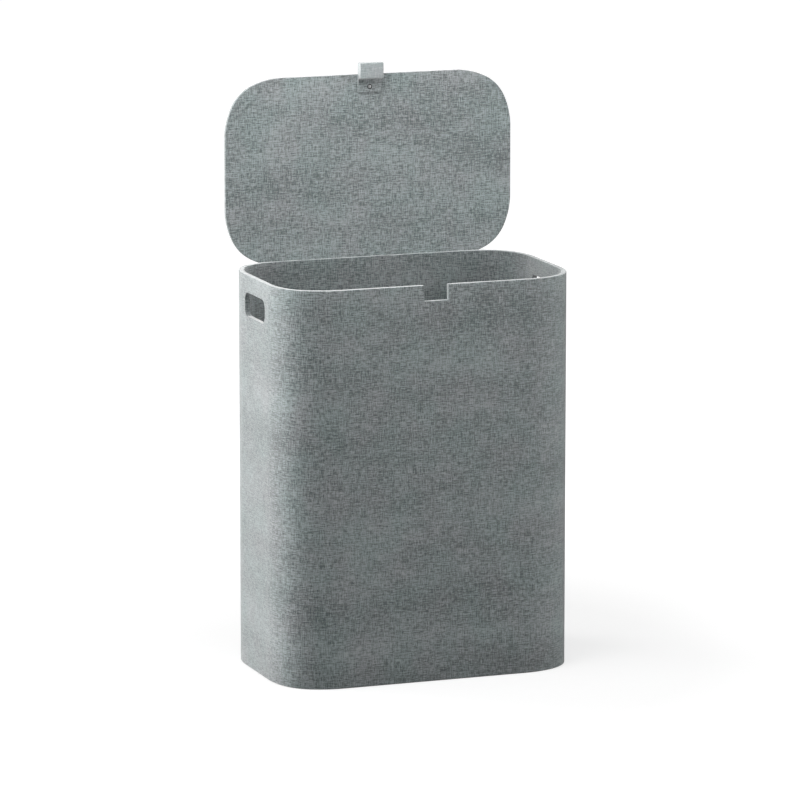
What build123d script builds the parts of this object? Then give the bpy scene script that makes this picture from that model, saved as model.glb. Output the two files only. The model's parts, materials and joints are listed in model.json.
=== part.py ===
"""Laundry hamper with a hinged lid, in millimetres.

A fibreboard sleeve with softly rounded corners is wrapped in linen-look cloth, lined, and closed
at the foot by a board. A thin cloth-covered lid turns on two pin hinges let into the rear rim.

The origin lies on the floor under the middle of the sleeve: +X right, +Z up, front towards -Y.
The lid is drawn standing open, flat against the rear wall, which is how the hamper rests here.
Lid sizes use two distances from the hinge axis: "height" above it and "reach" towards the lid's
front edge, as they would be measured on the closed lid. On the open lid height runs along +Y
and reach along +Z.
"""

from build123d import *
import os

os.makedirs("parts", exist_ok=True)

# ---- Driving sizes: the sleeve ----------------------------------------------------------------

body_width = 468.0
body_depth = 290.0
body_height = 600.0
cloth = 0.7  # every covering and lining
core_thickness = 6.6
flat_radius = 113.0  # corner arcs next to the straight sides
flat_angle = 25.0
tight_radius = 66.0  # middle arc of a corner
joint_gap = 0.6  # where the bent sleeve's two ends meet, middle of the rear wall
splice_width = 60.0
splice_thickness = 1.2
splice_margin = 30.0  # below the rim and above the bottom board

# ---- Driving sizes: the foot ------------------------------------------------------------------

dust_cover_thickness = 0.8
dust_cover_inset = 2.0
hem_width = 25.0  # covering turned in under the sleeve
board_thickness = 6.0
board_clearance = 0.2
brad_head_radius = 1.3
brad_head_height = 0.6
brad_radius = 0.6
brad_length = 18.0
brad_spread_x = 120.0  # outermost brads on the long sides
brad_count_x = 4
brad_spread_y = 35.0  # outermost brads on the short sides
brad_count_y = 2

# ---- Driving sizes: openings ------------------------------------------------------------------

hand_hole_width = 90.0
hand_hole_height = 36.0
hand_hole_radius = 12.5
hand_hole_below_rim = 26.0
finger_gap = 10.5  # under the closed tab, in the front notch

# ---- Driving sizes: the lid and its tab -------------------------------------------------------

lid_side_inset = 4.0
lid_front_inset = 4.0
lid_core_thickness = 5.6
lid_gap = 0.3  # between the lid and what it swings past
tab_width = 37.2
tab_side_clearance = 0.7
tab_drop = 13.5
tab_length = 24.0
tab_projection = 18.6  # past the lid's front edge
tab_leg_thickness = 2.8
tab_leg_length = 22.0
tab_inner_radius = 8.0
tab_edge_radius = 1.2
tab_screw_setback = 18.7  # behind the lid's front edge
tab_cup_radius = 4.0
tab_cup_height = 1.2
tab_screw_head_radius = 2.5
tab_screw_head_height = 0.9
tab_screw_radius = 1.5
tab_screw_length = 6.2

# ---- Driving sizes: the hinges ----------------------------------------------------------------

hinge_spacing = 200.0
hinge_length = 38.0
barrel_radius = 2.0
pin_radius = 0.9
pin_fit = 0.05
lid_knuckle_length = 14.0
knuckle_gap = 0.3
leaf_thickness = 1.4
leaf_reach = 22.0
neck_thickness = 2.4
hinge_clearance = 0.4
leaf_clearance = 0.1
hinge_screw_spacing = 26.0
hinge_screw_head_radius = 2.2
hinge_screw_head_height = 0.8
hinge_screw_radius = 1.1
hinge_screw_length = 4.8

fastener_clearance = 0.05

# ---- Sizes that follow ------------------------------------------------------------------------

wall = core_thickness + 2 * cloth
rim_cloth_bottom = body_height - cloth
hem_bottom = dust_cover_thickness
core_bottom = hem_bottom + cloth
board_top = core_bottom + board_thickness
lining_inset = wall - cloth
board_inset = lining_inset + board_clearance

axis_y = body_depth / 2 - wall / 2
axis_z = body_height - wall / 2
swing_radius = wall / 2  # round of the rear rim about the hinge axis
core_face = body_depth / 2 - cloth - axis_y  # rear face of the core, from the hinge axis

lid_width = body_width - 2 * lid_side_inset
lid_depth = body_depth - lid_front_inset
lid_thickness = lid_core_thickness + 2 * cloth
lid_bottom = swing_radius + lid_gap
lid_centre_reach = lid_depth / 2 - wall / 2
lid_front_reach = lid_depth - wall / 2

tab_front_reach = lid_front_reach + tab_projection
tab_rear_reach = tab_front_reach - tab_length
tab_leg_reach = tab_rear_reach - tab_leg_length
tab_leg_face = lid_bottom - tab_leg_thickness
tab_screw_reach = lid_front_reach - tab_screw_setback

notch_width = tab_width + 2 * tab_side_clearance
notch_floor = body_height + lid_gap - tab_drop - finger_gap
hand_hole_z = body_height - hand_hole_below_rim - hand_hole_height / 2

knuckle_length = (hinge_length - lid_knuckle_length) / 2 - knuckle_gap
knuckle_slot = lid_knuckle_length + 2 * hinge_clearance
barrel_clear = barrel_radius + hinge_clearance
neck_clear = neck_thickness / 2 + hinge_clearance
lid_leaf_height = lid_bottom + cloth


# ---- Shared outlines --------------------------------------------------------------------------


def plan(width, depth, inset=0.0, mode=Mode.ADD):
    """Draw the rounded plan in the open sketch, each corner three arcs in a row."""
    tight_angle = 90 - 2 * flat_angle
    tight = tight_radius - inset
    flat = flat_radius - inset
    half_width = width / 2 - inset
    half_depth = depth / 2 - inset
    with BuildLine(mode=Mode.PRIVATE) as corner:
        first = JernArc((0, 0), (1, 0), flat, flat_angle)
        middle = JernArc(first @ 1, first % 1, tight, tight_angle)
        last = JernArc(middle @ 1, middle % 1, flat, flat_angle)
    span = last @ 1
    with BuildLine() as outline:
        Line((0, -half_depth), (half_width - span.X, -half_depth))
        add(corner.line.moved(Location((half_width - span.X, -half_depth))))
        Line((half_width, span.Y - half_depth), (half_width, 0))
        mirror(about=Plane.YZ)
        mirror(about=Plane.XZ)
    make_face(outline.edges(), mode=mode)


def slab(inset, bottom, height):
    """Extrude the hamper's plan, drawn in by inset, from a level upwards."""
    with BuildSketch(Plane.XY.offset(bottom)) as level:
        plan(body_width, body_depth, inset)
    extrude(level.sketch, amount=height)


def ring(inset, width, bottom, top):
    """Extrude a band of the hamper's wall, from inset inwards, between two levels."""
    with BuildSketch(Plane.XY.offset(bottom)) as band:
        plan(body_width, body_depth, inset)
        plan(body_width, body_depth, inset + width, mode=Mode.SUBTRACT)
    extrude(band.sketch, amount=top - bottom)


def round_rear_rim(inset):
    """Round the rear rim's outer edge about the hinge axis, so that the lid can swing past it."""
    with BuildSketch(hinge_section(-body_width / 2)) as outside:
        Rectangle(wall, wall, align=(Align.MIN, Align.MIN))
        Circle(swing_radius - inset, mode=Mode.SUBTRACT)
    extrude(outside.sketch, amount=body_width, mode=Mode.SUBTRACT)


def cut_hand_holes(margin):
    """Cut both hand holes, larger all round by margin."""
    with BuildSketch(Plane.YZ) as hole:
        with Locations((0, hand_hole_z)):
            hand_hole(margin)
    extrude(hole.sketch, amount=body_width / 2, both=True, mode=Mode.SUBTRACT)


def hand_hole(margin, mode=Mode.ADD):
    """Draw a hand hole's outline in the open sketch."""
    width = hand_hole_width + 2 * margin
    height = hand_hole_height + 2 * margin
    RectangleRounded(width, height, hand_hole_radius + margin, mode=mode)


def cut_notch(margin):
    """Cut the front rim's notch, wider and deeper by margin."""
    with BuildSketch(Plane.XZ.offset(body_depth / 2 - wall)) as notch:
        with Locations((0, notch_floor - margin)):
            Rectangle(notch_width + 2 * margin, body_height, align=(Align.CENTER, Align.MIN))
    extrude(notch.sketch, amount=wall, mode=Mode.SUBTRACT)


def hinge_section(x):
    """The plane across the hinge axis at x: first coordinate +Y, second +Z."""
    return Plane(origin=(x, axis_y, axis_z), x_dir=(0, 1, 0), z_dir=(1, 0, 0))


def lid_plane(height, reach, x=0.0, up=1):
    """A plane parallel to the open lid, facing the lid's top, or its underside with up=-1."""
    return Plane(origin=(x, axis_y + height, axis_z + reach), x_dir=(1, 0, 0), z_dir=(0, up, 0))


def lid_slab(inset, height, thickness, mode=Mode.ADD):
    """Extrude the lid's plan, drawn in by inset, from a height towards the lid's top."""
    with BuildSketch(lid_plane(height, lid_centre_reach)) as level:
        plan(lid_width, lid_depth, inset)
    extrude(level.sketch, amount=thickness, mode=mode)


def cross_bar(x_from, x_to, low, high, mode=Mode.ADD):
    """Extrude a rectangle of the hinge section, given by two corners, along the hinge axis."""
    size = (high[0] - low[0], high[1] - low[1])
    with BuildSketch(hinge_section(x_from)) as section:
        with Locations(low):
            Rectangle(size[0], size[1], align=(Align.MIN, Align.MIN))
    extrude(section.sketch, amount=x_to - x_from, mode=mode)


def round_bar(x_from, x_to, radius, mode=Mode.ADD):
    """Extrude a cylinder about the hinge axis."""
    with BuildSketch(hinge_section(x_from)) as section:
        Circle(radius)
    extrude(section.sketch, amount=x_to - x_from, mode=mode)


def fastener(plane, head, shank, length, clearance=0.0, mode=Mode.ADD):
    """Make a headed nail or screw from its head's face along the plane's normal, or its hole."""
    head_radius, head_height = head
    with BuildSketch(plane) as head_circle:
        Circle(head_radius + clearance)
    extrude(head_circle.sketch, amount=head_height, mode=mode)
    with BuildSketch(plane) as shank_circle:
        Circle(shank + clearance)
    extrude(shank_circle.sketch, amount=length + 2 * clearance, mode=mode)


# ---- Places that repeat -----------------------------------------------------------------------

brad_head = (brad_head_radius, brad_head_height)
brad_z = core_bottom + board_thickness / 2
brad_steps_x = [i / (brad_count_x - 1) * 2 - 1 for i in range(brad_count_x)]
brad_steps_y = [i / (brad_count_y - 1) * 2 - 1 for i in range(brad_count_y)]
core_half_width = body_width / 2 - cloth
core_half_depth = body_depth / 2 - cloth
brad_planes = [
    Plane(origin=(step * brad_spread_x, side * core_half_depth, brad_z), z_dir=(0, -side, 0))
    for side in (-1, 1)
    for step in brad_steps_x
] + [
    Plane(origin=(side * core_half_width, step * brad_spread_y, brad_z), z_dir=(-side, 0, 0))
    for side in (-1, 1)
    for step in brad_steps_y
]

hinge_sides = {"left": -hinge_spacing / 2, "right": hinge_spacing / 2}
hinge_screw = (hinge_screw_head_radius, hinge_screw_head_height)
leaf_screw_reach = (barrel_clear + leaf_reach) / 2
screw_places = [x + side * hinge_screw_spacing / 2 for x in hinge_sides.values() for side in (-1, 1)]
wall_screw_planes = [
    Plane(origin=(x, axis_y + core_face, axis_z - leaf_screw_reach), z_dir=(0, -1, 0))
    for x in screw_places
]
lid_screw_planes = [lid_plane(lid_leaf_height, leaf_screw_reach, x) for x in screw_places]


def brads(clearance=0.0, mode=Mode.ADD):
    """All the brads that hold the bottom board, or their holes."""
    for plane in brad_planes:
        fastener(plane, brad_head, brad_radius, brad_length, clearance, mode)


def hinge_screws(planes, clearance=0.0, mode=Mode.ADD):
    """All the hinge screws of one body, or their holes."""
    for plane in planes:
        fastener(plane, hinge_screw, hinge_screw_radius, hinge_screw_length, clearance, mode)


# ---- The sleeve -------------------------------------------------------------------------------

with BuildPart() as under_cover:  # all that lies under the covering: core and lining
    ring(cloth, wall - cloth, core_bottom, rim_cloth_bottom)
    round_rear_rim(cloth)

with BuildPart() as wall_core:
    ring(cloth, core_thickness, core_bottom, rim_cloth_bottom)
    round_rear_rim(cloth)
    cut_hand_holes(cloth)
    cut_notch(cloth)
    with BuildSketch(Plane.XY.offset(core_bottom)):
        with Locations((0, axis_y)):
            Rectangle(joint_gap, 2 * wall)
    extrude(amount=body_height, mode=Mode.SUBTRACT)
    with BuildSketch(Plane.XY.offset(board_top + splice_margin)):
        with Locations((0, body_depth / 2 - lining_inset)):
            Rectangle(splice_width, 2 * splice_thickness)
    extrude(
        amount=body_height - board_top - 2 * splice_margin,
        mode=Mode.SUBTRACT,
    )
    for x in hinge_sides.values():
        left = x - hinge_length / 2 - leaf_clearance
        right = x + hinge_length / 2 + leaf_clearance
        cross_bar(left, right, (-barrel_clear, -barrel_clear), (wall, wall), Mode.SUBTRACT)
        pocket_low = (core_face - leaf_thickness, -leaf_reach - leaf_clearance)
        cross_bar(left, right, pocket_low, (wall, 0), Mode.SUBTRACT)
    brads(fastener_clearance, Mode.SUBTRACT)
    hinge_screws(wall_screw_planes, fastener_clearance, Mode.SUBTRACT)

with BuildPart() as core_splice:
    with BuildSketch(Plane.XY.offset(board_top + splice_margin)):
        with Locations((0, body_depth / 2 - lining_inset)):
            Rectangle(splice_width, splice_thickness, align=(Align.CENTER, Align.MIN))
    extrude(amount=body_height - board_top - 2 * splice_margin)

with BuildPart() as outer_cover:
    ring(0, wall, core_bottom, body_height)
    round_rear_rim(0)
    add(under_cover.part, mode=Mode.SUBTRACT)
    ring(0, hem_width, hem_bottom, core_bottom)
    cut_hand_holes(cloth)
    cut_notch(cloth)
    for x in hinge_sides.values():
        slot_low = (-neck_clear, -neck_clear)
        cross_bar(
            x - knuckle_slot / 2, x + knuckle_slot / 2, slot_low, (wall, wall), Mode.SUBTRACT
        )

with BuildPart() as inner_lining:
    ring(lining_inset, cloth, board_top, rim_cloth_bottom)
    cut_hand_holes(cloth)
    cut_notch(cloth)

hand_hole_linings = {}
for side, start in (("left", -body_width / 2), ("right", body_width / 2 - wall)):
    with BuildPart() as hand_hole_lining:
        with BuildSketch(Plane.YZ.offset(start)):
            with Locations((0, hand_hole_z)):
                hand_hole(cloth)
                hand_hole(0, mode=Mode.SUBTRACT)
        extrude(amount=wall)
    hand_hole_linings[side] = hand_hole_lining

with BuildPart() as notch_lining:
    with BuildSketch(Plane.XZ.offset(body_depth / 2 - wall)):
        with Locations((0, notch_floor - cloth)):
            Rectangle(
                notch_width + 2 * cloth,
                body_height - notch_floor + cloth,
                align=(Align.CENTER, Align.MIN),
            )
    extrude(amount=wall)
    cut_notch(0)

# ---- The foot ---------------------------------------------------------------------------------

with BuildPart() as bottom_board:
    slab(board_inset, core_bottom, board_thickness)
    brads(fastener_clearance, Mode.SUBTRACT)

with BuildPart() as bottom_lining:
    slab(wall + board_clearance, board_top, cloth)

with BuildPart() as dust_cover:
    slab(dust_cover_inset, 0, dust_cover_thickness)

with BuildPart() as bottom_brads:
    brads()

# ---- The lid ----------------------------------------------------------------------------------

tab_screw = (tab_screw_head_radius, tab_screw_head_height)
tab_screw_plane = lid_plane(tab_leg_face, tab_screw_reach)

with BuildPart() as lid_core:
    lid_slab(cloth, lid_leaf_height, lid_core_thickness)
    for x in hinge_sides.values():
        cross_bar(
            x - hinge_length / 2 - leaf_clearance,
            x + hinge_length / 2 + leaf_clearance,
            (lid_leaf_height, -barrel_radius - leaf_clearance),
            (lid_leaf_height + leaf_thickness, leaf_reach + leaf_clearance),
            Mode.SUBTRACT,
        )
    hinge_screws(lid_screw_planes, fastener_clearance, Mode.SUBTRACT)
    fastener(
        tab_screw_plane, tab_screw, tab_screw_radius, tab_screw_length, fastener_clearance, Mode.SUBTRACT
    )

with BuildPart() as lid_top_cover:
    lid_slab(0, lid_bottom, lid_thickness)
    lid_slab(cloth, lid_bottom, cloth + lid_core_thickness, Mode.SUBTRACT)

with BuildPart() as lid_underside_cover:
    lid_slab(cloth, lid_bottom, cloth)
    for x in hinge_sides.values():
        cross_bar(
            x - knuckle_slot / 2,
            x + knuckle_slot / 2,
            (lid_bottom, -neck_clear),
            (lid_leaf_height, neck_clear),
            Mode.SUBTRACT,
        )
    fastener(
        tab_screw_plane, tab_screw, tab_screw_radius, tab_screw_length, fastener_clearance, Mode.SUBTRACT
    )

# ---- The tab ----------------------------------------------------------------------------------


def tab_block(inset):
    """Extrude the tab's L profile, drawn in by inset, centred on the hamper."""
    corners = [
        (lid_bottom, tab_front_reach),
        (lid_bottom - tab_drop, tab_front_reach),
        (lid_bottom - tab_drop, tab_rear_reach),
        (tab_leg_face, tab_rear_reach),
        (tab_leg_face, tab_leg_reach),
        (lid_bottom, tab_leg_reach),
    ]
    edge = tab_edge_radius
    radii = [edge, edge, edge, tab_inner_radius, 0, 0]
    with BuildSketch(hinge_section(-tab_width / 2 + inset)) as profile:
        with BuildLine():
            FilletPolyline(*corners, radius=radii, close=True)
        make_face()
        if inset:
            offset(amount=-inset, kind=Kind.INTERSECTION)
    extrude(profile.sketch, amount=tab_width - 2 * inset)


def cut_tab_fixing():
    """Cut the cup's recess and the screw's hole through the tab's leg."""
    fastener(
        tab_screw_plane,
        (tab_cup_radius, tab_cup_height),
        tab_screw_radius,
        tab_screw_length,
        fastener_clearance,
        Mode.SUBTRACT,
    )


with BuildPart() as tab_whole:
    tab_block(0)

with BuildPart() as tab_core:
    tab_block(cloth)
    cut_tab_fixing()

with BuildPart() as tab_core_space:
    tab_block(cloth)

with BuildPart() as tab_cover:
    add(tab_whole.part)
    add(tab_core_space.part, mode=Mode.SUBTRACT)
    cut_tab_fixing()

with BuildPart() as tab_screw_cup:
    with BuildSketch(tab_screw_plane):
        Circle(tab_cup_radius)
    extrude(amount=tab_cup_height)
    fastener(
        tab_screw_plane, tab_screw, tab_screw_radius, tab_screw_length, fastener_clearance, Mode.SUBTRACT
    )

with BuildPart() as tab_fixing_screw:
    fastener(tab_screw_plane, tab_screw, tab_screw_radius, tab_screw_length)

# ---- The hinges -------------------------------------------------------------------------------


def wall_leaf(x):
    """The hinge half in the sleeve: a plate under the rear cover and two knuckles on the pin."""
    end = hinge_length / 2
    cross_bar(
        x - end,
        x + end,
        (core_face - leaf_thickness, -leaf_reach),
        (core_face, -barrel_clear),
    )
    for low, high in ((x - end, x - end + knuckle_length), (x + end - knuckle_length, x + end)):
        cross_bar(low, high, (0, -barrel_clear), (core_face, 0))
        round_bar(low, high, barrel_radius)
    round_bar(x - end, x + end, pin_radius + pin_fit, Mode.SUBTRACT)
    hinge_screws(wall_screw_planes, fastener_clearance, Mode.SUBTRACT)


def lid_leaf(x):
    """The hinge half in the lid: a plate under the underside cover, a neck and one knuckle."""
    end = hinge_length / 2
    half = lid_knuckle_length / 2
    cross_bar(
        x - end,
        x + end,
        (lid_leaf_height, -barrel_radius),
        (lid_leaf_height + leaf_thickness, leaf_reach),
    )
    cross_bar(x - half, x + half, (0, -neck_thickness / 2), (lid_leaf_height, neck_thickness / 2))
    round_bar(x - half, x + half, barrel_radius)
    round_bar(x - end, x + end, pin_radius + pin_fit, Mode.SUBTRACT)
    hinge_screws(lid_screw_planes, fastener_clearance, Mode.SUBTRACT)


wall_leaves = {}
lid_leaves = {}
hinge_pins = {}
for side, x in hinge_sides.items():
    with BuildPart() as wall_leaves[side]:
        wall_leaf(x)
    with BuildPart() as lid_leaves[side]:
        lid_leaf(x)
    with BuildPart() as hinge_pins[side]:
        round_bar(x - hinge_length / 2, x + hinge_length / 2, pin_radius)

with BuildPart() as wall_hinge_screws:
    hinge_screws(wall_screw_planes)

with BuildPart() as lid_hinge_screws:
    hinge_screws(lid_screw_planes)

# ---- Labels and files -------------------------------------------------------------------------

pieces = {
    "wall_core": wall_core,
    "core_splice": core_splice,
    "outer_cover": outer_cover,
    "inner_lining": inner_lining,
    "hand_hole_lining_left": hand_hole_linings["left"],
    "hand_hole_lining_right": hand_hole_linings["right"],
    "notch_lining": notch_lining,
    "bottom_board": bottom_board,
    "bottom_lining": bottom_lining,
    "dust_cover": dust_cover,
    "bottom_brads": bottom_brads,
    "hinge_wall_leaf_left": wall_leaves["left"],
    "hinge_wall_leaf_right": wall_leaves["right"],
    "hinge_pin_left": hinge_pins["left"],
    "hinge_pin_right": hinge_pins["right"],
    "hinge_wall_screws": wall_hinge_screws,
    "lid_core": lid_core,
    "lid_top_cover": lid_top_cover,
    "lid_underside_cover": lid_underside_cover,
    "hinge_lid_leaf_left": lid_leaves["left"],
    "hinge_lid_leaf_right": lid_leaves["right"],
    "hinge_lid_screws": lid_hinge_screws,
    "tab_core": tab_core,
    "tab_cover": tab_cover,
    "tab_screw_cup": tab_screw_cup,
    "tab_screw": tab_fixing_screw,
}

for name, piece in pieces.items():
    piece.part.label = name
    export_step(piece.part, f"parts/{name}.step")
    print(name, len(piece.part.solids()), round(piece.part.volume, 1))
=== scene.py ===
# %% [markdown]
# # A laundry hamper with its lid standing open
# The hamper is a bent board sleeve wrapped in grey linen-look cloth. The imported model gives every
# board, hinge and screw at its true size, so it is loaded first and never moved. This lesson then
# dresses it: cloth coverings with folded edges, the little metal pieces, finishes, light and camera.

import bmesh
import bpy
import json
import math
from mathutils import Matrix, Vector


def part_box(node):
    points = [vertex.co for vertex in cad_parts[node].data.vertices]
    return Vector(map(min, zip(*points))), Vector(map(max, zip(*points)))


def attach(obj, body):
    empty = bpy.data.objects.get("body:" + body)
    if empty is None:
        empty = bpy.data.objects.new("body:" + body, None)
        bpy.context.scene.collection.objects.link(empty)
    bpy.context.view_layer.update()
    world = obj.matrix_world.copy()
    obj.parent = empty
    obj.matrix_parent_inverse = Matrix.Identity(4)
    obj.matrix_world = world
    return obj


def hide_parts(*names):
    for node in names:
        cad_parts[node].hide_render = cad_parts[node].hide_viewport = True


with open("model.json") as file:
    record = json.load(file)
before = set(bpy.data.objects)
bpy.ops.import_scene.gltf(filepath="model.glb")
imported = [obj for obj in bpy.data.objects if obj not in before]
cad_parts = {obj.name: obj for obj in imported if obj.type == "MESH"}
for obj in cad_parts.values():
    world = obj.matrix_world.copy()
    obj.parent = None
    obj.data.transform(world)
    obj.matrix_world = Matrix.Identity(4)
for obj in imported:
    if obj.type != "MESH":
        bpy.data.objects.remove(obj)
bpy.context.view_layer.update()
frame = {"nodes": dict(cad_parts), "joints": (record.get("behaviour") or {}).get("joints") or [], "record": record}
mm = 0.001

# %% [markdown]
# ## Sizes read from the model
# A covering has to sit exactly on its board, so its sizes are read from the boxes of the packed
# pieces. Only the radii of the rounded corners can't be read from a box: each corner is three arcs,
# a wide one, a tighter one and the wide one again, which looks softer than a plain quarter circle.

# %% Measure the pieces
outer_low, outer_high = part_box("outer_cover")
binding_low, binding_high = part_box("hand_hole_lining_left")
underside_low, underside_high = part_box("lid_underside_cover")
lid_low, lid_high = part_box("lid_top_cover")
notch_low, notch_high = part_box("notch_lining")
tab_low, tab_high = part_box("tab_cover")
floor_lining_low, floor_lining_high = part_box("bottom_lining")
foot_low, foot_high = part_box("dust_cover")

half_width, half_depth, rim = outer_high
hem = outer_low.z
wall = binding_high.x - binding_low.x
cloth = underside_high.y - underside_low.y
axis = Vector(frame["joints"][0]["pos_m"])
swing = wall / 2
lid_bottom = lid_low.y - axis.y
lid_top = lid_high.y - axis.y
notch_half = notch_high.x - cloth
notch_floor = notch_low.z + cloth
wide_radius, tight_radius, wide_angle = 113 * mm, 66 * mm, math.radians(25)
shell_cloth = 0.6 * mm
print("wall", round(wall / mm, 2), "mm, cloth", round(cloth / mm, 2), "mm")

# %% [markdown]
# ## Writing a finish as arithmetic
# A shader is a sum of masks and noises, so it reads best as a sum. `Amount` wraps one socket, and
# its operators add Math nodes, also when the plain number stands first, as in `1 - mask`. Every
# other node comes from `Finish.node`, which sets the node up before it is wired.


# %% The two helpers for finishes
class Amount:
    """A value that changes over a surface, carried by one socket of a finish."""

    def __init__(self, finish, socket):
        self.finish = finish
        self.socket = socket

    def math(self, operation, first, second):
        return self.finish.node("ShaderNodeMath", {"operation": operation}, {0: first, 1: second})

    def __add__(self, other):
        return self.math("ADD", self, other)

    def __radd__(self, other):
        return self.math("ADD", other, self)

    def __sub__(self, other):
        return self.math("SUBTRACT", self, other)

    def __rsub__(self, other):
        return self.math("SUBTRACT", other, self)

    def __mul__(self, other):
        return self.math("MULTIPLY", self, other)

    def __rmul__(self, other):
        return self.math("MULTIPLY", other, self)

    def __truediv__(self, other):
        return self.math("DIVIDE", self, other)

    def __rtruediv__(self, other):
        return self.math("DIVIDE", other, self)


class Finish:
    """A material while it is being written."""

    def __init__(self, name):
        self.material = bpy.data.materials.new(name)
        self.material.use_nodes = True
        self.tree = self.material.node_tree
        self.tree.nodes.clear()

    def node(self, kind, settings, inputs, output=0):
        made = self.tree.nodes.new(kind)
        for key, value in settings.items():
            setattr(made, key, value)
        for key, value in inputs.items():
            if isinstance(value, Amount):
                self.tree.links.new(value.socket, made.inputs[key])
            else:
                made.inputs[key].default_value = value
        return Amount(self, made.outputs[output]) if made.outputs else made

    def mix(self, share, first, second):
        """Two colours mixed by a share from 0 to 1."""
        inputs = {"Factor": share, 6: first, 7: second}
        return self.node("ShaderNodeMix", {"data_type": "RGBA"}, inputs, 2)

    def surface(self, inputs):
        """The finished surface, wired to the material's output."""
        shader = self.node("ShaderNodeBsdfPrincipled", {}, inputs)
        self.node("ShaderNodeOutputMaterial", {}, {"Surface": shader})
        print("finish", self.material.name, "has", len(self.tree.nodes), "nodes")
        return self.material


# %% [markdown]
# ## Where the threads run
# Linen shows its threads along the height and across the width of each face. Every covering
# therefore carries a map named threads, laid out in metres like the flat cloth before it was glued
# on, so the same weave stays the same size on every piece and bends round the corners with it.


# %% Noise stretched along the threads
def threads(finish):
    return finish.node("ShaderNodeUVMap", {"uv_map": "threads"}, {})


def stretched_noise(finish, place, wide, tall, detail=2.0):
    """Noise whose spots are wide by tall metres on the cloth."""
    scale = (1 / wide, 1 / tall, 1.0)
    spread = finish.node("ShaderNodeVectorMath", {"operation": "MULTIPLY"}, {0: place, 1: scale})
    settings = {"noise_dimensions": "2D"}
    inputs = {"Vector": spread, "Scale": 1.0, "Detail": detail}
    return finish.node("ShaderNodeTexNoise", settings, inputs)


# %% [markdown]
# ## The linen-look cloth
# The cloth is woven from uneven yarn: thick places, called slubs, make short light and dark streaks
# along both directions, and single fibres make it speckled close up. One noise is stretched along
# the height and one along the width, and their sum picks a shade between a dark and a light yarn.
# Two slow drifts, one in shade and one from greenish to purplish grey, keep it from looking printed.
# The relief is the crossing of the threads plus the slubs. The fibre ends standing off the cloth
# catch light at a grazing angle, which is what sheen stands for, and it hides the weave there.


# %% Make the cloth
def linen(name, dark, light, contrast=1.0):
    finish = Finish(name)
    place = threads(finish)
    warp = stretched_noise(finish, place, 1.15 * mm, 9 * mm)
    weft = stretched_noise(finish, place, 9 * mm, 1.15 * mm)
    fibre = stretched_noise(finish, place, 1.0 * mm, 1.0 * mm)
    long_warp = stretched_noise(finish, place, 1.5 * mm, 34 * mm)
    long_weft = stretched_noise(finish, place, 34 * mm, 1.5 * mm)
    cloud = stretched_noise(finish, place, 230 * mm, 60 * mm, 5.0)
    drift = stretched_noise(finish, place, 55 * mm, 70 * mm, 4.0)
    slubs = (warp - 0.5) * 1.9 + (weft - 0.5) * 2.1 + (fibre - 0.5) * 1.5
    slow = (long_warp - 0.5) * 1.0 + (long_weft - 0.5) * 1.25 + (cloud - 0.5) * 0.85
    shade = finish.node("ShaderNodeClamp", {}, {0: (slubs + slow) * contrast + 0.5})
    yarn = finish.mix(shade, (*dark, 1), (*light, 1))
    cast = finish.node("ShaderNodeClamp", {}, {0: (drift - 0.5) * 2.5 + 0.5})
    tint = finish.mix(cast, (0.94, 1.02, 1.0, 1), (1.01, 0.995, 1.0, 1))
    settings = {"data_type": "RGBA", "blend_type": "MULTIPLY"}
    colour = finish.node("ShaderNodeMix", settings, {0: 1.0, 6: yarn, 7: tint}, 2)
    across = finish.node("ShaderNodeSeparateXYZ", {}, {0: place}, 0)
    down = finish.node("ShaderNodeSeparateXYZ", {}, {0: place}, 1)
    pitch = math.tau / (1.1 * mm)
    ripple_x = finish.node("ShaderNodeMath", {"operation": "SINE"}, {0: across * pitch + warp * 3.0})
    ripple_y = finish.node("ShaderNodeMath", {"operation": "SINE"}, {0: down * pitch + weft * 3.0})
    relief = ripple_x * ripple_y * 0.25 + slubs * 0.5
    bump = finish.node("ShaderNodeBump", {}, {"Strength": 0.5, "Distance": 0.2 * mm, "Height": relief})
    return finish.surface({
        "Base Color": colour,
        "Roughness": 0.94 - shade * 0.08,
        "Specular IOR Level": 0.25,
        "Sheen Weight": 0.7,
        "Sheen Roughness": 0.5,
        "Normal": bump,
    })


grey_linen = linen("grey_linen", (0.08, 0.095, 0.096), (0.30, 0.325, 0.33))
# The lining's cloth: the grey made darker, painted shade for the dim inside and the hand holes.
painted_shade_linen = linen("painted_shade_linen", (0.06, 0.071, 0.072), (0.23, 0.25, 0.254))
# The tab head's cloth: paler and calmer, a painted highlight for the light that falls on it.
painted_highlight_linen = linen("painted_highlight_linen", (0.19, 0.212, 0.216), (0.36, 0.388, 0.394), 0.5)

# %% [markdown]
# ## The finishes that mostly stay hidden
# The boards are brown pressed fibre, speckled and slightly streaked. The dust cloth under the foot
# is non-woven: pressed fibres held by rows of tiny welded dots. Hinges and screws are zinc-plated
# steel with fine drawing marks, and the tab's screw is a darker dull steel, painted shade under the
# tab's head. The cup round the tab's screw is blackened, with its paint rubbed thin on the high spots.
# These pieces have no thread map, so they use their own position.


# %% Make the other finishes
def position(finish):
    return finish.node("ShaderNodeTexCoord", {}, {}, 3)


def solid_noise(finish, place, scale, detail=3.0):
    sizes = tuple(scale) if isinstance(scale, (tuple, list)) else (scale,) * 3
    spread = finish.node("ShaderNodeVectorMath", {"operation": "MULTIPLY"}, {0: place, 1: sizes})
    return finish.node("ShaderNodeTexNoise", {}, {"Vector": spread, "Scale": 1.0, "Detail": detail})


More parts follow.
